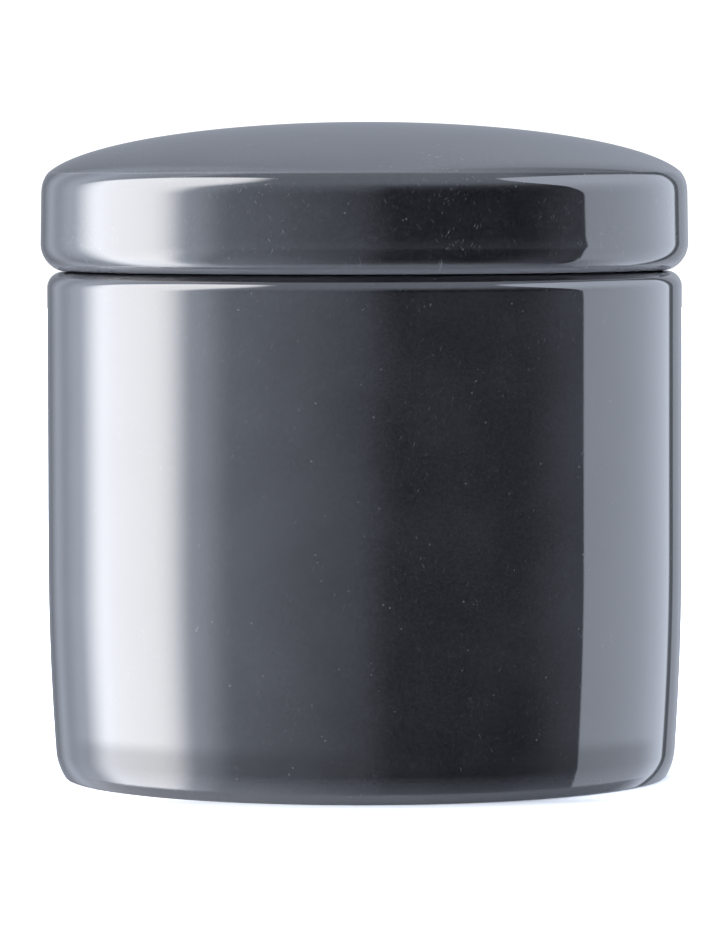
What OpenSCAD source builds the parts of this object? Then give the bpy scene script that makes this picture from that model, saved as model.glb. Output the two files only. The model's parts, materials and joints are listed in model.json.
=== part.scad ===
// Lidded stoneware sugar bowl: a straight-sided glazed pot that barrels in a
// little above its foot, and a domed lid that lifts off. A ring under the lid
// drops into the mouth and keeps the lid central. Millimetres, +Z up, with the
// origin at the centre of the foot, on the table.

/* [Bowl] */
// Outside diameter of the straight part of the wall
bowl_d = 88.2; // [80:0.2:96]
// Height from the table to the top of the rim
bowl_h = 70.4; // [56:0.2:84]
// Wall thickness
wall = 4.1; // [3.6:0.1:5]
// Thickness of the floor above the hollow in the foot
floor_t = 4.6; // [3.5:0.1:8]
// Radius inside, where the wall meets the floor
inner_corner_r = 10; // [4:0.5:16]

/* [Bowl outside] */
// Outer rounding of the rim
rim_outer_r = 2.2; // [1:0.1:2.3]
// Inner rounding of the rim
rim_inner_r = 0.8; // [0.4:0.1:1.2]
// Height at which the wall starts to barrel in towards the foot
barrel_top = 31; // [20:1:45]
// Radius of the barrelled part of the wall
barrel_r = 385; // [340:5:600]
// Height at which the barrel turns into the foot curve
foot_curve_top = 3.9; // [3:0.1:5]
// Radius of the foot curve
foot_curve_r = 8; // [6:0.5:14]

/* [Foot] */
// Width of the bare ring that the bowl stands on
foot_w = 5.2; // [3:0.1:8]
// Depth of the hollow inside that ring
foot_hollow = 1.2; // [0.8:0.1:2]
// Rounding of the ring's outer edge
foot_edge_r = 0.5; // [0.3:0.1:0.8]

/* [Lid outside] */
// How far the lid's skirt stands out past the bowl's wall, at its widest
overhang = 0.9; // [0.6:0.1:1.4]
// How much narrower the top of the skirt is than its widest part, on the radius
skirt_draft = 0.15; // [0.05:0.05:0.3]
// Height of the whole lid above the rim
lid_h = 20.7; // [18.5:0.1:23]
// Height of the soft ridge between skirt and dome, above the rim
ridge_h = 13.7; // [12:0.1:14.5]
// How far inside the skirt that ridge lies
ridge_inset = 0.9; // [0.5:0.05:1.2]
// Radius of the rounding under the ridge
shoulder_r = 4; // [2.5:0.1:5]
// Slope at which the dome leaves the ridge, in degrees
dome_edge_slope = 43; // [36:1:48]
// Radius of the rounding at the bottom of the skirt
lip_r = 4; // [3.9:0.1:4.6]
// Height at which that rounding starts, above the rim
lip_top = 3.9; // [3.5:0.1:3.9]

/* [Lid underside] */
// Open height of the seam between lip and rim
seam = 0.2; // [0.1:0.05:0.4]
// How far the outer edge of the seat lies inside the bowl's wall
seat_inset = 2.6; // [2.2:0.1:2.9]
// Clearance between the mouth and the locating ring, all round
ring_clearance = 1; // [0.5:0.1:1.6]
// Thickness of the locating ring
ring_t = 3.2; // [2.8:0.1:4]
// Depth of the locating ring below the rim
ring_h = 6; // [4:0.5:9]
// Thickness of the dome at its middle
dome_t = 4.2; // [3.5:0.1:5]
// Rise of the ceiling above the locating ring's straight inner wall
ceiling_rise = 6; // [5:0.5:7]

/* [Hidden] */
$fn = 180;

graphite = [0.27, 0.28, 0.31];
arc_step = 5;          // degrees between the points of a rounding
curve_steps = 36;      // stretches along the dome and along the ceiling
barrel_steps = 6;      // stretches along the barrelled wall
rest_gap = 0.02;       // glaze-thin gap under the resting lid
foot_inner_r = 0.5;    // roundings of the foot ring's inner side
ring_edge_r = 1.2;     // roundings of the locating ring's lower edge
seat_fillet_r = 0.8;   // fillet between the locating ring and the seat

bowl_r = bowl_d / 2;
mouth_r = bowl_r - wall;
floor_z = foot_hollow + floor_t;

// A point at distance r and angle a from the point c
function polar(c, r, a) = c + r * [cos(a), sin(a)];

// Points of a rounding of radius r about c, from angle a0 to angle a1
function arc(c, r, a0, a1) =
    let (n = max(1, ceil(abs(a1 - a0) / arc_step)))
    [for (i = [0:n]) polar(c, r, a0 + (a1 - a0) * i / n)];

// The point of an ellipse of half axes a and b about c whose normal is at angle n
function ellipse_point(c, a, b, n) =
    c + [a * a * cos(n), b * b * sin(n)] / norm([a * cos(n), b * sin(n)]);

// Points of that ellipse, closer together where it bends more, from normal n0 to n1
function ellipse(c, a, b, n0, n1) =
    [for (i = [0:curve_steps]) ellipse_point(c, a, b, n0 + (n1 - n0) * i / curve_steps)];

// ---- Bowl ----

// The wall barrels in on a large radius. That radius runs tangent into the foot
// curve, which runs tangent into the small rounding of the foot's edge.
barrel_c = [bowl_r - barrel_r, barrel_top];
barrel_end = -asin((barrel_top - foot_curve_top) / barrel_r);
foot_curve_c = polar(barrel_c, barrel_r - foot_curve_r, barrel_end);
foot_reach = foot_curve_r - foot_edge_r;
foot_end = -asin((foot_curve_c[1] - foot_edge_r) / foot_reach);
foot_edge_c = polar(foot_curve_c, foot_reach, foot_end);
foot_inner_x = foot_edge_c[0] - foot_w;

function foot_underside() = concat(
    [[0, foot_hollow]],
    arc([foot_inner_x - foot_inner_r, foot_hollow - foot_inner_r], foot_inner_r, 90, 45),
    arc([foot_inner_x + foot_inner_r, foot_inner_r], foot_inner_r, 225, 270)
);

function bowl_outside() = concat(
    arc(foot_edge_c, foot_edge_r, -90, foot_end),
    arc(foot_curve_c, foot_curve_r, foot_end, barrel_end),
    [for (i = [1:barrel_steps]) polar(barrel_c, barrel_r, barrel_end * (1 - i / barrel_steps))],
    arc([bowl_r - rim_outer_r, bowl_h - rim_outer_r], rim_outer_r, 0, 90)
);

function bowl_inside() = concat(
    arc([mouth_r + rim_inner_r, bowl_h - rim_inner_r], rim_inner_r, 90, 180),
    arc([mouth_r - inner_corner_r, floor_z + inner_corner_r], inner_corner_r, 0, -90),
    [[0, floor_z]]
);

module bowl() {
    color(graphite)
        rotate_extrude()
            polygon(concat(foot_underside(), bowl_outside(), bowl_inside()));
}

// ---- Lid ----

skirt_r = bowl_r + overhang;
shoulder_x = skirt_r - skirt_draft;
apex_z = bowl_h + lid_h;
seat_z = bowl_h + rest_gap;
lip_z = bowl_h + seam;

// The dome is an ellipse through the apex that leaves the ridge at the stated
// slope. With the ridge at x, a depth d below the apex, and slope s, the ellipse
// parameter there follows from tan(s) * x / d = (1 + sin(t)) / sin(t).
ridge = [shoulder_x - ridge_inset, bowl_h + ridge_h];
ridge_ratio = tan(dome_edge_slope) * ridge[0] / (apex_z - ridge[1]);
ridge_t = asin(1 / (ridge_ratio - 1));
dome_a = ridge[0] / cos(ridge_t);
dome_b = (apex_z - ridge[1]) / (1 - sin(ridge_t));
dome_c = [0, apex_z - dome_b];

// The shoulder rounding meets the skirt without a break and ends at the ridge.
shoulder_end = acos(1 - ridge_inset / shoulder_r);
shoulder_c = [shoulder_x - shoulder_r, ridge[1] - shoulder_r * sin(shoulder_end)];

lip_c = [skirt_r - lip_r, bowl_h + lip_top];
lip_end = -asin((lip_c[1] - lip_z) / lip_r);

seat_x = bowl_r - seat_inset;
ring_outer_x = mouth_r - ring_clearance;
ring_inner_x = ring_outer_x - ring_t;
ring_z = bowl_h - ring_h;
ceiling_c = [0, apex_z - dome_t - ceiling_rise];

function lid_outside() = concat(
    ellipse(dome_c, dome_a, dome_b, 90, 90 - dome_edge_slope),
    arc(shoulder_c, shoulder_r, shoulder_end, 0),
    arc(lip_c, lip_r, 0, lip_end)
);

function lid_underside() = concat(
    [[seat_x, lip_z], [seat_x, seat_z]],
    arc([ring_outer_x + seat_fillet_r, seat_z - seat_fillet_r], seat_fillet_r, 90, 180),
    arc([ring_outer_x - ring_edge_r, ring_z + ring_edge_r], ring_edge_r, 0, -90),
    arc([ring_inner_x + ring_edge_r, ring_z + ring_edge_r], ring_edge_r, -90, -180),
    ellipse(ceiling_c, ring_inner_x, ceiling_rise, 0, 90)
);

module lid() {
    color(graphite)
        rotate_extrude()
            polygon(concat(lid_outside(), lid_underside()));
}

bowl();
lid();
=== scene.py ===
"""Lidded sugar bowl in graphite gloss stoneware, on a white floor in a studio.

Lengths in the outlines are millimetres, as on a potter's drawing, and lathe()
turns them into metres. The main sizes come from the frame. Everywhere else
lengths are metres, unless a comment says millimetres.
"""

import json
import math

import bpy
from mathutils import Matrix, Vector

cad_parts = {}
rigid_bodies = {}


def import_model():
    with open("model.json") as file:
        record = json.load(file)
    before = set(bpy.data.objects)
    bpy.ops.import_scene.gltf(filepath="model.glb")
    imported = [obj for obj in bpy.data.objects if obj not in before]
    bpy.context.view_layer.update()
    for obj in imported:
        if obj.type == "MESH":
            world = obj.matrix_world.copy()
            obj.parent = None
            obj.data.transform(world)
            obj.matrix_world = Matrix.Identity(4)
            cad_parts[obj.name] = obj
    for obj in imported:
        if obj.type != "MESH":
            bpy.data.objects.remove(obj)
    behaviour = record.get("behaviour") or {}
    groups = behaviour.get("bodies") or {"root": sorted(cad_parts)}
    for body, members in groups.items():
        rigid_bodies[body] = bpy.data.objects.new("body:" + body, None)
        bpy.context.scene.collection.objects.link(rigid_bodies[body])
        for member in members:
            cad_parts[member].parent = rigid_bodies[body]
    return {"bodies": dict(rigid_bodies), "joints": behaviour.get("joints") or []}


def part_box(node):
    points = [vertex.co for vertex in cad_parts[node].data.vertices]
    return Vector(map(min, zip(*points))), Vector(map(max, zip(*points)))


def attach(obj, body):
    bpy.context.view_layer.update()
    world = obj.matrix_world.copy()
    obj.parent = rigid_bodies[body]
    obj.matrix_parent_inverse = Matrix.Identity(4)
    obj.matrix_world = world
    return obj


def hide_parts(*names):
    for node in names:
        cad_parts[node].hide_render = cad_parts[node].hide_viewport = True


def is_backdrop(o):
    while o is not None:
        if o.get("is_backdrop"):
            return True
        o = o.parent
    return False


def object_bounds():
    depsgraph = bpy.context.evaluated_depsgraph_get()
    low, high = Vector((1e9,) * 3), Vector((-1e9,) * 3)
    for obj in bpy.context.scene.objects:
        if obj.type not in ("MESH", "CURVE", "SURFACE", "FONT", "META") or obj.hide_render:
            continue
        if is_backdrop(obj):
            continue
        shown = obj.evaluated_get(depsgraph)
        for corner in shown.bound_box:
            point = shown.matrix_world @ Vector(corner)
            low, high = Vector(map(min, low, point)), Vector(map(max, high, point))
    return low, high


for leftover in list(bpy.data.objects):
    bpy.data.objects.remove(leftover)

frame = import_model()
cad_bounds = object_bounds()

MM = 0.001

bowl_low, bowl_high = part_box("bowl")
lid_low, lid_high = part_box("lid")
BOWL_R = min(-bowl_low.x, bowl_high.x, -bowl_low.y, bowl_high.y) / MM
RIM_Z = bowl_high.z / MM
SKIRT_R = min(-lid_low.x, lid_high.x, -lid_low.y, lid_high.y) / MM
APEX_Z = lid_high.z / MM
RING_Z = lid_low.z / MM

# ---- Outlines: half sections, radius and height, from axis to axis ----

SEGMENTS = 256        # round each piece
ARC_STEP = 2.0        # degrees between the points of a rounding
CURVE_STEPS = 60      # steps along the dome and along the ceiling
POINT_GAP = 1.2       # longest gap along a straight or a slow curve
CORNER_TURN = 5.0     # degrees: less is part of a rounding
HOLD = 0.07           # how far the extra points stand from a corner
HOLD_SHARE = 0.3      # and at most this part of the way to the next point
TINY = 1e-6           # points closer together than this are one
AXIS = 1e-4           # a point closer to the axis than this is on it

GLAZE, BARE = 0, 1    # finishes, in the order of a piece's material slots

# Thinness of the glaze, from 0 where it lies full to 1 where the body shows through
# On the lid the same value also paints lighter glaze where light falls: a reflection of the floor on the
# lip, a highlight along the ridge.
THIN_EDGE = 0.3
THIN_FOOT = 0.8
THIN_SEAT = 0.2


def polar(centre, radius, degrees):
    """The point at a distance and a direction from the centre."""
    turn = math.radians(degrees)
    return (centre[0] + radius * math.cos(turn), centre[1] + radius * math.sin(turn))


def arc(centre, radius, start, end):
    """A rounding, with a point every ARC_STEP degrees or less."""
    steps = max(2, math.ceil(abs(end - start) / ARC_STEP))
    return [polar(centre, radius, start + (end - start) * i / steps) for i in range(steps + 1)]


def slow_arc(centre, radius, start, end):
    """A rounding of large radius, with its points a fixed gap apart."""
    steps = math.ceil(math.radians(abs(end - start)) * radius / POINT_GAP)
    return [polar(centre, radius, start + (end - start) * i / steps) for i in range(steps + 1)]


def ellipse(centre, a, b, start, end, steps=CURVE_STEPS):
    """Points of an ellipse between two directions of its normal, closer where it bends more."""
    points = []
    for i in range(steps + 1):
        share = i / steps
        normal = math.radians(start + (end - start) * share)
        x, z = a * math.cos(normal), b * math.sin(normal)
        reach = math.hypot(x, z)
        points.append((centre[0] + a * x / reach, centre[1] + b * z / reach))
    return points


def asin_deg(value):
    return math.degrees(math.asin(value))


WALL = 4.1
FLOOR_Z = 5.8
INNER_CORNER_R = 10.0
RIM_OUTER_R = 2.2
RIM_INNER_R = 0.8
BARREL_TOP = 31.0
BARREL_R = 385.0
FOOT_CURVE_TOP = 3.9
FOOT_CURVE_R = 8.0
FOOT_EDGE_R = 0.5
FOOT_W = 5.2
FOOT_HOLLOW = 1.2
MOUTH_R = BOWL_R - WALL


def bowl_outline():
    """Stretches of the bowl's half section: points, finish, thinness of the glaze at either end."""
    barrel_c = (BOWL_R - BARREL_R, BARREL_TOP)
    barrel_end = -asin_deg((BARREL_TOP - FOOT_CURVE_TOP) / BARREL_R)
    foot_c = polar(barrel_c, BARREL_R - FOOT_CURVE_R, barrel_end)
    reach = FOOT_CURVE_R - FOOT_EDGE_R
    foot_end = -asin_deg((foot_c[1] - FOOT_EDGE_R) / reach)
    edge_c = polar(foot_c, reach, foot_end)
    inner_x = edge_c[0] - FOOT_W
    rim_z = RIM_Z - RIM_INNER_R
    inner_corner_c = (MOUTH_R - INNER_CORNER_R, FLOOR_Z + INNER_CORNER_R)
    return [
        ([(0, FOOT_HOLLOW)], GLAZE, 0, 0),
        (arc((inner_x - FOOT_EDGE_R, FOOT_HOLLOW - FOOT_EDGE_R), FOOT_EDGE_R, 90, 45), BARE, 0, 0),
        (arc((inner_x + FOOT_EDGE_R, FOOT_EDGE_R), FOOT_EDGE_R, 225, 270), BARE, 0, 0),
        (arc(edge_c, FOOT_EDGE_R, -90, foot_end), GLAZE, THIN_FOOT, THIN_EDGE),
        (arc(foot_c, FOOT_CURVE_R, foot_end, barrel_end), GLAZE, THIN_EDGE, 0),
        (slow_arc(barrel_c, BARREL_R, barrel_end, 0), GLAZE, 0, 0),
        (arc((BOWL_R - RIM_OUTER_R, RIM_Z - RIM_OUTER_R), RIM_OUTER_R, 0, 90), GLAZE, 0, 0),
        (arc((MOUTH_R + RIM_INNER_R, rim_z), RIM_INNER_R, 90, 180), GLAZE, 0, THIN_EDGE),
        (arc(inner_corner_c, INNER_CORNER_R, 0, -90), GLAZE, 0, 0),
        ([(0, FLOOR_Z)], GLAZE, 0, 0),
    ]


SKIRT_DRAFT = 0.15
RIDGE_H = 13.7
RIDGE_INSET = 0.9
SHOULDER_R = 4.0
EASE_TURN = 9.0       # degrees of the shoulder's rounding that ease into the skirt
EASE_R = 7.6
DOME_EDGE_SLOPE = 43.0
RIDGE_TURN = 1.5      # degrees of turn above the ridge over which a painted highlight lightens the glaze
RIDGE_STEPS = 3
SHOULDER_TURN = 4.0   # degrees of turn below the ridge over which that painted highlight fades out
# how strongly the painted highlight along the ridge lightens the glaze
RIDGE_THIN = 0.16
LIP_R = 4.0
LIP_TOP = 3.9
LIP_THINS = -33.0     # direction of the lip's face from which a painted reflection of the floor lightens the glaze
SEAM = 0.2
REST_GAP = 0.02
SEAT_INSET = 2.6
SEAT_FILLET_R = 0.8
RING_CLEARANCE = 1.0
RING_T = 3.2
RING_EDGE_R = 1.2
DOME_T = 4.2
CEILING_RISE = 6.0


def dome():
    """Half axes of the ellipse that rises from the ridge to the apex."""
    ridge_x = SKIRT_R - SKIRT_DRAFT - RIDGE_INSET
    depth = APEX_Z - RIM_Z - RIDGE_H
    ratio = math.tan(math.radians(DOME_EDGE_SLOPE)) * ridge_x / depth
    sine = 1 / (ratio - 1)
    return ridge_x / math.sqrt(1 - sine * sine), depth / (1 - sine)


def lid_outline():
    """Stretches of the lid's half section, as in bowl_outline(). Thinness there also paints a highlight
    along the ridge and a reflection of the floor on the lip.
    """
    a, b = dome()
    dome_c = (0, APEX_Z - b)
    dome_end = 90 - DOME_EDGE_SLOPE
    shoulder_x = SKIRT_R - SKIRT_DRAFT
    shoulder_end = math.degrees(math.acos(1 - RIDGE_INSET / SHOULDER_R))
    shoulder_z = RIM_Z + RIDGE_H - SHOULDER_R * math.sin(math.radians(shoulder_end))
    gathered = shoulder_end - SHOULDER_TURN
    lip_end = -asin_deg((LIP_TOP - SEAM) / LIP_R)
    seat_x, seat_z = BOWL_R - SEAT_INSET, RIM_Z + REST_GAP
    ring_outer = MOUTH_R - RING_CLEARANCE
    ring_inner = ring_outer - RING_T
    edge_z = RING_Z + RING_EDGE_R
    shoulder_c = (shoulder_x - SHOULDER_R, shoulder_z)
    ease_c = polar(shoulder_c, SHOULDER_R - EASE_R, EASE_TURN)
    lip_c = (SKIRT_R - LIP_R, RIM_Z + LIP_TOP)
    fillet_c = (ring_outer + SEAT_FILLET_R, seat_z - SEAT_FILLET_R)
    ceiling_c = (0, APEX_Z - DOME_T - CEILING_RISE)
    return [
        (ellipse(dome_c, a, b, 90, dome_end + RIDGE_TURN), GLAZE, 0, 0),
        # Painted highlight along the ridge, drawn as thinner glaze
        (ellipse(dome_c, a, b, dome_end + RIDGE_TURN, dome_end, RIDGE_STEPS), GLAZE, 0, RIDGE_THIN),
        (arc(shoulder_c, SHOULDER_R, shoulder_end, gathered), GLAZE, RIDGE_THIN, 0),
        (arc(shoulder_c, SHOULDER_R, gathered, EASE_TURN), GLAZE, 0, 0),
        (arc(ease_c, EASE_R, EASE_TURN, 0), GLAZE, 0, 0),
        (arc(lip_c, LIP_R, 0, LIP_THINS), GLAZE, 0, 0),
        # Painted reflection of the floor on the lip's lower face, drawn as glaze that thins to nothing.
        (arc(lip_c, LIP_R, LIP_THINS, lip_end), GLAZE, 0, 1),
        ([(seat_x, seat_z)], GLAZE, THIN_SEAT, THIN_SEAT),
        (arc(fillet_c, SEAT_FILLET_R, 90, 180), GLAZE, 0, 0),
        (arc((ring_outer - RING_EDGE_R, edge_z), RING_EDGE_R, 0, -90), GLAZE, 0, THIN_EDGE),
        (arc((ring_inner + RING_EDGE_R, edge_z), RING_EDGE_R, -90, -180), GLAZE, THIN_EDGE, 0),
        (ellipse(ceiling_c, ring_inner, CEILING_RISE, 0, 90), GLAZE, 0, 0),
    ]


def walk(stretches):
    """The outline as evenly filled points (x, z, thinness and painted sheen of the glaze, finish of the
    band that ends there).
    """
    points = []
    for stretch, finish, thin_start, thin_end in stretches:
        for step, (x, z) in enumerate(stretch):
            share = step / max(1, len(stretch) - 1)
            end = (x, z, thin_start + (thin_end - thin_start) * share)
            if points:
                start = points[-1][:3]
                length = math.hypot(x - start[0], z - start[1])
                if length < TINY:
                    continue
                fill = math.ceil(length / POINT_GAP)
                points += [between(start, end, i / fill, finish) for i in range(1, fill)]
            points.append((max(x, 0.0), z, end[2], finish))
    return points


def between(start, end, share, finish):
    """The point part of the way from one (x, z, thinness and painted sheen) to another."""
    x, z, thin = (a + (b - a) * share for a, b in zip(start, end))
    return (x, z, thin, finish)


def hold_corners(points):
    """Adds a point close to either side of each real corner, so that shading stays crisp there."""
    held = [points[0]]
    for before, here, after in zip(points, points[1:], points[2:]):
        turn_in = math.atan2(here[1] - before[1], here[0] - before[0])
        turn_out = math.atan2(after[1] - here[1], after[0] - here[0])
        turn = abs(math.remainder(turn_out - turn_in, math.tau))
        if turn > math.radians(CORNER_TURN):
            held += [toward(here, before, here[3]), here, toward(here, after, after[3])]
        else:
            held.append(here)
    return held + [points[-1]]


def toward(start, end, finish):
    """The point that stands HOLD away from one point in the direction of another."""
    share = min(HOLD_SHARE, HOLD / math.hypot(end[0] - start[0], end[1] - start[1]))
    return between(start[:3], end[:3], share, finish)


def lathe(name, stretches, materials):
    """Turns an outline round +Z into one closed mesh, with a pole where it meets the axis."""
    verts, thinness, rings, faces, face_finish = [], [], [], [], []
    outline = hold_corners(walk(stretches))
    for x, z, thin, _ in outline:
        first = len(verts)
        if x < AXIS:
            verts.append((0, 0, z * MM))
            thinness.append(thin)
            rings.append([first] * SEGMENTS)
            continue
        for s in range(SEGMENTS):
            turn = 2 * math.pi * s / SEGMENTS
            verts.append((x * math.cos(turn) * MM, x * math.sin(turn) * MM, z * MM))
            thinness.append(thin)
        rings.append([first + s for s in range(SEGMENTS)])
    for low, high, (_, _, _, finish) in zip(rings, rings[1:], outline[1:]):
        for s in range(SEGMENTS):
            t = (s + 1) % SEGMENTS
            corners = tuple(dict.fromkeys((low[s], low[t], high[t], high[s])))
            faces.append(corners)
            face_finish.append(finish)
    mesh = bpy.data.meshes.new(name)
    mesh.from_pydata(verts, [], faces)
    mesh.polygons.foreach_set("material_index", face_finish)
    mesh.polygons.foreach_set("use_smooth", [True] * len(faces))
    mesh.attributes.new("thinness", "FLOAT", "POINT").data.foreach_set("value", thinness)
    for material in materials:
        mesh.materials.append(material)
    piece = bpy.data.objects.new(name, mesh)
    bpy.context.scene.collection.objects.link(piece)
    return piece


# ---- Node helpers ----


class Graph:
    """Short calls that add nodes to a material's or the world's tree."""

    def __init__(self, owner):
        owner.use_nodes = True
        self.tree = owner.node_tree
        self.tree.nodes.clear()

    def node(self, kind, settings=None, **inputs):
        node = self.tree.nodes.new("ShaderNode" + kind)
        for key, value in (settings or {}).items():
            setattr(node, key, value)
        for key, value in inputs.items():
            self.feed(node.inputs[key.replace("_", " ")], value)
        return node

    def feed(self, socket, value):
        if isinstance(value, bpy.types.NodeSocket):
            self.tree.links.new(value, socket)
        else:
            socket.default_value = value

    def math(self, operation, *values):
        node = self.tree.nodes.new("ShaderNodeMath")
        node.operation = operation
        for socket, value in zip(node.inputs, values):
            self.feed(socket, value)
        return node.outputs[0]

    def smooth(self, value, low, high, to_low=0.0, to_high=1.0):
        node = self.node("MapRange", {"interpolation_type": "SMOOTHSTEP"}, Value=value)
        for key, number in (("From Min", low), ("From Max", high), ("To Min", to_low), ("To Max", to_high)):
            self.feed(node.inputs[key], number)
        return node.outputs["Result"]

    def mix(self, factor, a, b):
        node = self.tree.nodes.new("ShaderNodeMix")
        node.data_type = "RGBA"
        self.feed(node.inputs[0], factor)
        self.feed(node.inputs[6], a)
        self.feed(node.inputs[7], b)
        return node.outputs[2]

    def noise(self, where, scale, detail=2.0, roughness=0.5):
        node = self.node("TexNoise", None, Vector=where, Scale=scale, Detail=detail, Roughness=roughness)
        return node.outputs["Fac"]

    def finish(self, kind, shader):
        self.feed(self.node(kind).inputs["Surface"], shader.outputs[0])


def rgb(red, green, blue):
    return (red, green, blue, 1.0)


BLACK = rgb(0, 0, 0)


# ---- Finishes ----

GLAZE_DARK = rgb(0.0027, 0.0029, 0.0035)
GLAZE_LIGHT = rgb(0.0072, 0.0075, 0.0084)
GLAZE_MARK = rgb(0.060, 0.060, 0.062)
# Thin glaze, and the painted reflection and highlight on the lid's lip and ridge
GLAZE_THIN = rgb(0.115, 0.118, 0.129)
GLAZE_IOR = 1.5
GLAZE_ROUGHNESS = 0.035
CLOUD_ROUGHNESS = 0.012            # how much rougher it is in the clouds, and on marks
MARK_ROUGHNESS = 0.25
CLOUD_SCALE = 90.0                 # noise scales are cells to the metre
CLOUD_FADE = (0.35, 0.65)          # noise values between which it goes from none to full
CLOUD_SHARE = 0.45                 # part of the tone that is clouds; the rest is mottling
MOTTLING_SCALE = 2300.0
MOTTLING_FADE = (0.32, 0.68)
SPECKS = (900.0, 260.0, 0.60, 0.66)     # scale, scale of the patches, noise where those fade in
SPECK_STRENGTH = 0.6
FINE_DUST = (2600.0, 120.0, 0.46, 0.62)
FINE_DUST_STRENGTH = 0.3
SPECK_SIZE = (0.05, 0.17)          # solid and faded out, as a part of a cell
WORN_SCALE = 75.0                  # patches with more scratches and with fewer
WORN_FADE = (0.42, 0.66, 0.1, 0.9)      # between the first two, wear goes from the third to the fourth
PEEL_SCALE = 1000.0
PEEL_HEIGHT = 0.0009               # millimetres, as is the swell's
SWELL_SCALE = 55.0
SWELL_HEIGHT = 0.012
BOWL_WEAR = 0.65                   # how scratched a piece is
LID_WEAR = 1.7
SCRATCH_CELL = (0.0026, 0.00038)   # one scratch at most in an area of this length and width
SCRATCH_SIZE = (0.09, 0.15)        # its half length, as a part of the area's, solid and faded out
SCRATCH_BIAS = 2.0                 # more than 1: faint ones outnumber strong ones
# Direction in degrees, share of the areas that hold a scratch, size against SCRATCH_CELL
SCRATCHES = ((62, 0.06, 1.0), (118, 0.08, 1.0), (24, 0.02, 1.0), (108, 0.14, 0.55), (70, 0.10, 0.55))


def unrolled(g):
    """The surface as a flat sheet: metres round the piece, and metres up it and in over its top."""
    parts = g.node("SeparateXYZ", None, Vector=g.node("TexCoord").outputs["Object"])
    x, y, z = parts.outputs
    radius = g.math("SQRT", g.math("ADD", g.math("MULTIPLY", x, x), g.math("MULTIPLY", y, y)))
    around = g.math("MULTIPLY", g.math("ARCTAN2", y, x), BOWL_R * MM)
    return g.node("CombineXYZ", None, X=around, Y=g.math("SUBTRACT", z, radius)).outputs[0]


def scratches(g, sheet, direction, share, size, wear):
    """Short faint hairlines, all about the same way, more in some patches than in others."""
    turned = g.node("Mapping", {"vector_type": "TEXTURE"}, Vector=sheet)
    g.feed(turned.inputs["Rotation"], (0, 0, math.radians(direction)))
    g.feed(turned.inputs["Scale"], (SCRATCH_CELL[0] * size, SCRATCH_CELL[1] * size, 1))
    cells = g.node("TexVoronoi", {"voronoi_dimensions": "2D"}, Vector=turned.outputs[0], Scale=1.0)
    line = g.smooth(cells.outputs["Distance"], *SCRATCH_SIZE, 1.0, 0.0)
    pick = g.node("SeparateXYZ", None, Vector=cells.outputs["Color"])
    chosen = g.math("LESS_THAN", pick.outputs["X"], share)
    strength = g.math("POWER", pick.outputs["Y"], SCRATCH_BIAS)
    worn = g.smooth(g.noise(sheet, WORN_SCALE, 1.0), *WORN_FADE)
    strength = g.math("MULTIPLY", g.math("MULTIPLY", strength, worn), g.math("MULTIPLY", chosen, wear))
    return g.math("MULTIPLY", line, strength)


def dust(g, where, scale, patches, low, high):
    """Round specks, each at most one to a cell, gathered in patches."""
    cells = g.node("TexVoronoi", None, Vector=where, Scale=scale)
    gathered = g.smooth(g.noise(where, patches, 1.0), low, high)
    return g.math("MULTIPLY", g.smooth(cells.outputs["Distance"], *SPECK_SIZE, 1.0, 0.0), gathered)


def glaze(name, wear):
    """Dark gloss glaze: cloudiness, fine mottling, dust, hairline scratches, faint orange peel, lighter
    where thin, and painted sheen on the lid's lip and ridge.
    """
    material = bpy.data.materials.new(name)
    g = Graph(material)
    where = g.node("TexCoord").outputs["Object"]
    sheet = unrolled(g)
    clouds = g.smooth(g.noise(where, CLOUD_SCALE, 3.0), *CLOUD_FADE)
    mottling = g.smooth(g.noise(where, MOTTLING_SCALE, 2.0), *MOTTLING_FADE)
    tone = g.math("ADD", g.math("MULTIPLY", clouds, CLOUD_SHARE),
                  g.math("MULTIPLY", mottling, 1 - CLOUD_SHARE))
    colour = g.mix(tone, GLAZE_DARK, GLAZE_LIGHT)
    specks = g.math("MULTIPLY", dust(g, where, *SPECKS), SPECK_STRENGTH)
    fine_dust = g.math("MULTIPLY", dust(g, where, *FINE_DUST), FINE_DUST_STRENGTH)
    marks = g.math("MAXIMUM", specks, fine_dust)
    for direction, share, size in SCRATCHES:
        marks = g.math("MAXIMUM", marks, scratches(g, sheet, direction, share * wear, size, wear))
    colour = g.mix(marks, colour, GLAZE_MARK)
    # Lighter where the glaze runs thin, and where the lid's painted reflection and highlight lie
    thin = g.node("Attribute", {"attribute_name": "thinness"}).outputs["Fac"]
    colour = g.mix(thin, colour, GLAZE_THIN)
    rough = g.math("ADD", GLAZE_ROUGHNESS, g.math("MULTIPLY", clouds, CLOUD_ROUGHNESS))
    rough = g.math("ADD", rough, g.math("MULTIPLY", marks, MARK_ROUGHNESS))
    peel = g.math("MULTIPLY", g.noise(where, PEEL_SCALE, 1.0), PEEL_HEIGHT)
    swell = g.math("MULTIPLY", g.noise(where, SWELL_SCALE, 1.0), SWELL_HEIGHT)
    height = g.math("ADD", peel, swell)
    bump = g.node("Bump", None, Height=height, Strength=1.0, Distance=MM)
    surface = g.node("BsdfPrincipled", None, Roughness=rough, IOR=GLAZE_IOR, Normal=bump.outputs[0])
    g.feed(surface.inputs["Base Color"], colour)
    g.finish("OutputMaterial", surface)
    return material


BARE_PALE = rgb(0.42, 0.37, 0.31)
BARE_DARK = rgb(0.24, 0.20, 0.165)
BARE_ROUGHNESS = 0.82
SAND_SCALE = 1800.0
SAND_FADE = (0.35, 0.7)
SAND_HEIGHT = 0.08                 # millimetres


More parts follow.
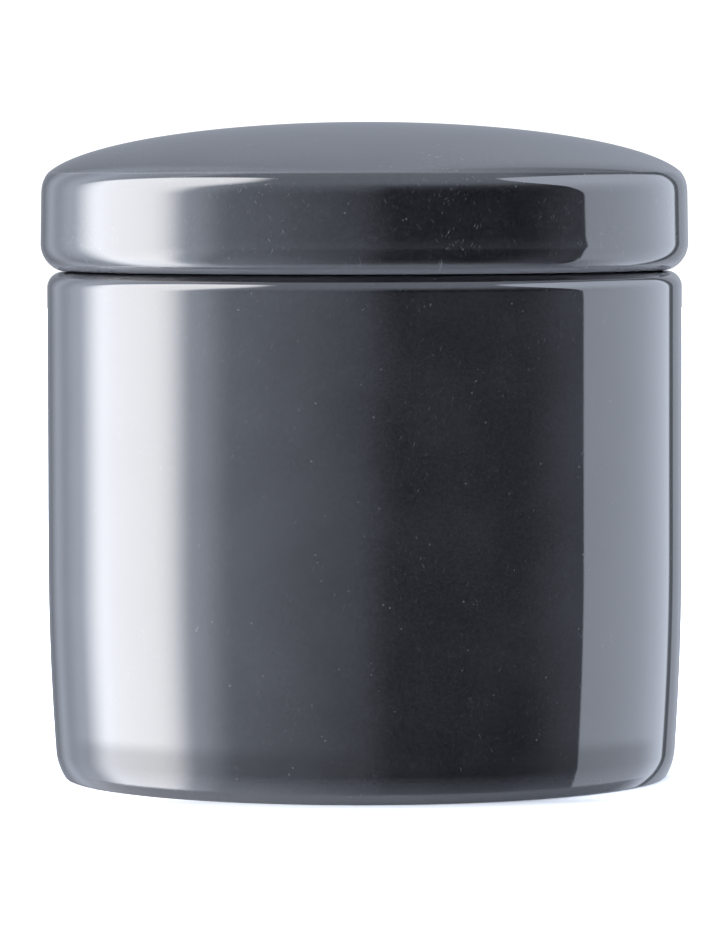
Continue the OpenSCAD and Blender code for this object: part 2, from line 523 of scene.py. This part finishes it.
def bare_stoneware(name):
    """Unglazed fired clay: sandy and matt."""
    material = bpy.data.materials.new(name)
    g = Graph(material)
    where = g.node("TexCoord").outputs["Object"]
    sand = g.noise(where, SAND_SCALE, 3.0, 0.65)
    colour = g.mix(g.smooth(sand, *SAND_FADE), BARE_PALE, BARE_DARK)
    height = g.math("MULTIPLY", sand, SAND_HEIGHT)
    bump = g.node("Bump", None, Height=height, Strength=1.0, Distance=MM)
    surface = g.node("BsdfPrincipled", None, Roughness=BARE_ROUGHNESS, Normal=bump.outputs[0])
    g.feed(surface.inputs["Base Color"], colour)
    g.finish("OutputMaterial", surface)
    return material


# ---- Pieces ----

bare = bare_stoneware("bare_stoneware")
bowl_glaze = glaze("bowl_glaze_graphite", BOWL_WEAR)
lid_glaze = glaze("lid_glaze_graphite", LID_WEAR)

bowl = lathe("glazed_bowl", bowl_outline(), [bowl_glaze, bare])
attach(bowl, "bowl")
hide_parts("bowl")

lid = lathe("glazed_lid", lid_outline(), [lid_glaze])
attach(lid, "lid")
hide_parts("lid")

# ---- Floor ----

FLOOR_R = 3.0
FLOOR_SIDES = 96
FLOOR_WHITE = rgb(0.9, 0.9, 0.9)
CONTACT = 0.6             # how much darker the camera sees the floor against the foot
CONTACT_R = (0.044, 0.063)         # distances from the axis between which that fades out
CONTACT_FRONT = (-0.038, -0.027)   # and the same in y: it shows only in front
MIRRORED = rgb(0.62, 0.62, 0.62)
MIRRORED_R = 0.0438       # up to here the glaze mirrors the floor
MIRRORED_SOFT = 0.0005
VEIL = 0.28               # how much of it, and how grey, the glaze mirrors farther out
VEIL_GREY = rgb(0.12, 0.12, 0.12)
VEIL_R = 0.074
VEIL_SOFT = 0.007
BACKWARD = (-0.8, -0.5)   # y of the way back along a mirrored ray: one from behind misses the floor


def contact_shade(g, where, reach):
    """The soft shade that the camera sees on the floor before the foot."""
    y = g.node("SeparateXYZ", None, Vector=where).outputs["Y"]
    before = g.smooth(y, *CONTACT_FRONT, 1.0, 0.0)
    near = g.smooth(reach, *CONTACT_R, CONTACT, 0.0)
    seen = g.node("LightPath").outputs["Is Camera Ray"]
    return g.math("MULTIPLY", g.math("MULTIPLY", near, before), seen)


def floor_finish():
    """White. The glaze mirrors it only close to the foot, and the studio beyond that."""
    material = bpy.data.materials.new("pale_floor")
    g = Graph(material)
    where = g.node("TexCoord").outputs["Object"]
    reach = g.node("VectorMath", {"operation": "LENGTH"})
    g.feed(reach.inputs[0], where)
    reach = reach.outputs["Value"]
    near = g.smooth(reach, MIRRORED_R - MIRRORED_SOFT, MIRRORED_R + MIRRORED_SOFT, 1.0, 0.0)
    veil = g.smooth(reach, VEIL_R - VEIL_SOFT, VEIL_R + VEIL_SOFT, VEIL, 0.0)
    incoming = g.node("SeparateXYZ", None, Vector=g.node("NewGeometry").outputs["Incoming"])
    forward = g.smooth(incoming.outputs["Y"], *BACKWARD)
    shown = g.math("MULTIPLY", g.math("MAXIMUM", near, veil), forward)
    glossy = g.node("LightPath").outputs["Is Glossy Ray"]
    gone = g.math("MULTIPLY", g.math("SUBTRACT", 1.0, shown), glossy)
    mirrored = g.mix(near, VEIL_GREY, MIRRORED)
    shaded = g.mix(contact_shade(g, where, reach), FLOOR_WHITE, BLACK)
    white = g.node("BsdfDiffuse", None, Color=g.mix(glossy, shaded, mirrored))
    nothing = g.node("BsdfTransparent")
    mixed = g.node("MixShader", None, Fac=gone)
    g.feed(mixed.inputs[1], white.outputs[0])
    g.feed(mixed.inputs[2], nothing.outputs[0])
    g.finish("OutputMaterial", mixed)
    return material


floor_mesh = bpy.data.meshes.new("floor")
edge = [(*polar((0, 0), FLOOR_R, 360 * side / FLOOR_SIDES), 0) for side in range(FLOOR_SIDES)]
floor_mesh.from_pydata(edge, [], [tuple(range(FLOOR_SIDES))])
floor_mesh.materials.append(floor_finish())
floor = bpy.data.objects.new("floor", floor_mesh)
bpy.context.scene.collection.objects.link(floor)
floor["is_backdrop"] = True

# ---- Studio light ----
# Azimuth 0 is the direction of the camera and +90 is to its right; the zenith is
# elevation 90. A later panel covers an earlier one.

COOL = (0.92, 1.0, 1.17)
COOLISH = (0.97, 1.0, 1.075)
NEUTRAL = (0.99, 1.0, 1.04)
ROUND = 400           # past every azimuth or elevation: no edge on that side


def panel(radiance, tint=COOL, left=-ROUND, left_soft=1, right=ROUND, right_soft=1,
          bottom=-ROUND, bottom_soft=1, top=ROUND, top_soft=1, faces=0, rise=0, leans=0):
    """A glowing area between azimuths and elevations, each edge with its softness.

    With a rise it is a wall that faces azimuth faces, and its top edge is level, that
    many times as high as the wall is far. leans is +1 when its right edge leans, and -1
    when its left one does: outward above the horizon, inward below it, as set further on.
    """
    return locals()


AMBIENT = panel(0.10)
BEHIND_LEFT = panel(0.38, right=-148, right_soft=12)
BEHIND_RIGHT = panel(0.75, left=149.9, left_soft=1.0)
FAR_BEHIND = panel(0.38, left=170, left_soft=10)
SIDE_LEFT = panel(1.3, left=-153.5, left_soft=8, right=-90)
NEAR_LEFT = panel(3.3, left=-131, left_soft=11, right=-90)
FRONT = panel(2.75, left=-91, right=-26, right_soft=63)
NEAR_KEY = panel(5.3, left=-91, right=-57, right_soft=10, leans=1)
KEY = panel(11.8, COOLISH, left=-116.5, left_soft=10, right=-71, right_soft=8,
            bottom=-52, bottom_soft=20, faces=-44, rise=1.18, leans=1)
KEY_HOT = panel(16.0, NEUTRAL, left=-100, left_soft=19, right=-73.6, right_soft=9,
                bottom=-52, bottom_soft=20, faces=-44, rise=1.18, leans=1)
FLAG = panel(0.02, left=6, left_soft=9, right=100, top=18, top_soft=14)
FLAG_SHEEN = panel(0.45, left=69, left_soft=14, right=100, top=18, top_soft=14)
CARD = panel(2.3, left=85.5, left_soft=0.5, right=144.6, right_soft=1.2, bottom=-44, bottom_soft=14,
             faces=75, rise=1.0, leans=-1)
CARD_HOT = panel(4.2, left=85.5, left_soft=0.5, right=115, right_soft=45, bottom=-44, bottom_soft=14,
                 faces=75, rise=1.0, leans=-1)
CARD_TOP = panel(7.0, left=85.5, left_soft=0.5, right=100, right_soft=45, bottom=14, bottom_soft=14,
                 faces=75, rise=1.0, leans=-1)
BELOW = panel(1.5, top=-70, top_soft=22)
HAZE = panel(0.25, left=-66, left_soft=14, right=100, right_soft=20,
             bottom=-11, bottom_soft=5, top=0.3, top_soft=1.2)

OVERHEAD = 4.2                 # radiance straight above
OVERHEAD_POWER = 1.9           # how fast it falls off towards the horizon
CEILING = 2.4                  # radiance above and before the bowl
CEILING_FADE = (-4, 42)        # elevations between which it fades in
CEILING_END = (-0.2, 0.07)     # how far back a direction points where it fades out
LEAN_ABOVE = (1, 40, 0, 26)    # a leaning edge moves 26 degrees out between elevations 1 and 40
LEAN_BELOW = (-60, -10, 1, 0)  # and inward from elevation -10 down to -60, by the square of the way,
LEAN_BELOW_TURN = 40           # up to this many degrees
CARD_BEND = (-1, 1.6, 0, 1.7)  # the card's left edge also bends out by 1.7 degrees at the horizon
KEY_SPREAD = 0.45              # the key's left edge goes out by this part of what its right comes in
TOP_SOFT = 0.04                # softness of a wall's top edge, as a part of its distance


class Sky(Graph):
    """The studio as a function of the direction looked in."""

    def __init__(self, world):
        super().__init__(world)
        parts = self.node("SeparateXYZ")
        self.feed(parts.inputs[0], self.node("TexCoord").outputs["Generated"])
        self.x, self.y, self.z = parts.outputs
        forward = self.math("MULTIPLY", self.y, -1.0)
        self.azimuth = self.math("DEGREES", self.math("ARCTAN2", self.x, forward))
        self.elevation = self.math("DEGREES", self.math("ARCSINE", self.z))
        upward = self.smooth(self.elevation, *LEAN_ABOVE)
        inward = self.math("MULTIPLY", self.math("POWER", self.ramp(*LEAN_BELOW), 2.0), LEAN_BELOW_TURN)
        self.lean = self.math("SUBTRACT", upward, inward)
        self.bend = self.math("ADD", self.lean, self.ramp(*CARD_BEND))
        self.spread = self.math("MULTIPLY", inward, KEY_SPREAD)
        self.light = BLACK

    def ramp(self, low, high, to_low, to_high):
        """A value that goes evenly from to_low to to_high between two elevations."""
        node = self.node("MapRange", None, Value=self.elevation)
        for key, number in (("From Min", low), ("From Max", high), ("To Min", to_low), ("To Max", to_high)):
            self.feed(node.inputs[key], number)
        return node.outputs["Result"]

    def above(self, value, edge, soft):
        return self.smooth(value, edge - soft, edge + soft) if edge > -ROUND else 1.0

    def under(self, value, edge, soft):
        return self.smooth(value, edge - soft, edge + soft, 1.0, 0.0) if edge < ROUND else 1.0

    def mask(self, left, left_soft, right, right_soft, bottom, bottom_soft, top, top_soft,
             faces, rise, leans):
        """1 on a panel and 0 off it."""
        left_side = self.azimuth
        right_side = self.azimuth
        if leans < 0:
            left_side = self.math("ADD", self.azimuth, self.bend)
        if leans > 0:
            left_side = self.math("ADD", self.azimuth, self.spread)
            right_side = self.math("SUBTRACT", self.azimuth, self.lean)
        mask = self.above(left_side, left, left_soft)
        mask = self.math("MULTIPLY", mask, self.under(right_side, right, right_soft))
        mask = self.math("MULTIPLY", mask, self.above(self.elevation, bottom, bottom_soft))
        mask = self.math("MULTIPLY", mask, self.under(self.elevation, top, top_soft))
        if rise:
            turn = math.radians(faces)
            ahead = self.math("SUBTRACT", self.math("MULTIPLY", self.x, math.sin(turn) * rise),
                              self.math("MULTIPLY", self.y, math.cos(turn) * rise))
            over = self.math("SUBTRACT", self.z, ahead)
            mask = self.math("MULTIPLY", mask, self.under(over, 0, TOP_SOFT))
        return mask

    def cover(self, radiance, tint, **edges):
        """Paints a panel over what is there."""
        self.paint(self.mask(**edges), radiance, tint)

    def paint(self, mask, radiance, tint):
        self.light = self.mix(mask, self.light, rgb(*(radiance * channel for channel in tint)))

    def lighten(self, radiance, tint, **edges):
        """Adds a panel's light to what is there."""
        glow = self.node("VectorMath", {"operation": "SCALE"})
        self.feed(glow.inputs[0], [radiance * channel for channel in tint])
        self.feed(glow.inputs["Scale"], self.mask(**edges))
        total = self.node("VectorMath", {"operation": "ADD"})
        self.feed(total.inputs[0], self.light)
        self.feed(total.inputs[1], glow.outputs[0])
        self.light = total.outputs[0]

    def ceiling(self):
        """Light from above all round, and the bright ceiling before the bowl."""
        self.paint(self.math("POWER", self.ramp(0, 90, 0, 1), OVERHEAD_POWER), OVERHEAD, COOL)
        before = self.smooth(self.y, *CEILING_END, 1.0, 0.0)
        fade = self.smooth(self.elevation, *CEILING_FADE)
        self.paint(self.math("MULTIPLY", before, fade), CEILING, COOL)


BACKGROUND_WHITE = rgb(1.2, 1.2, 1.2)


def studio(world):
    sky = Sky(world)
    for far in (AMBIENT, BEHIND_LEFT, BEHIND_RIGHT, FAR_BEHIND, SIDE_LEFT, NEAR_LEFT, FRONT, NEAR_KEY):
        sky.cover(**far)
    sky.ceiling()
    for near in (KEY, KEY_HOT, FLAG, FLAG_SHEEN, CARD, CARD_HOT, CARD_TOP, BELOW):
        sky.cover(**near)
    sky.lighten(**HAZE)
    seen = sky.node("LightPath").outputs["Is Camera Ray"]
    light = sky.mix(seen, sky.light, BACKGROUND_WHITE)
    sky.finish("OutputWorld", sky.node("Background", None, Color=light))


world = bpy.data.worlds.new("studio")
bpy.context.scene.world = world
studio(world)

# ---- Camera ----
# A long lens, level with the lid's shoulder, that backs away as the lid rises.

CAMERA_DISTANCE = 0.875
CAMERA_HEIGHT = 0.0843
CAMERA_TILT = 2.67
CAMERA_ROLL = 0.12
CAMERA_OFFSET = -0.00059
LENS_MM = 243.9
LIFT = frame["joints"][0]["range_m"][1]
LIFT_BACK = 0.36      # how far the camera goes back and up while the lid is lifted
LIFT_UP = 0.047

lens = bpy.data.cameras.new("camera")
lens.lens = LENS_MM
lens.clip_start = 0.01
camera = bpy.data.objects.new("camera", lens)
camera.location = (CAMERA_OFFSET, -CAMERA_DISTANCE, CAMERA_HEIGHT)
camera.rotation_euler = (math.radians(90 - CAMERA_TILT), math.radians(CAMERA_ROLL), 0)
bpy.context.scene.collection.objects.link(camera)
bpy.context.scene.camera = camera

follow = camera.constraints.new("TRANSFORM")
follow.target = frame["bodies"]["lid"]
follow.from_max_z = LIFT
follow.map_to_y_from = "Z"
follow.map_to_z_from = "Z"
follow.to_max_y = -LIFT_BACK
follow.to_max_z = LIFT_UP
follow.mix_mode = "ADD"

bpy.context.scene.view_settings.view_transform = "Standard"

sizes = {"cad": [list(corner) for corner in cad_bounds],
         "visual": [list(corner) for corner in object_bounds()]}
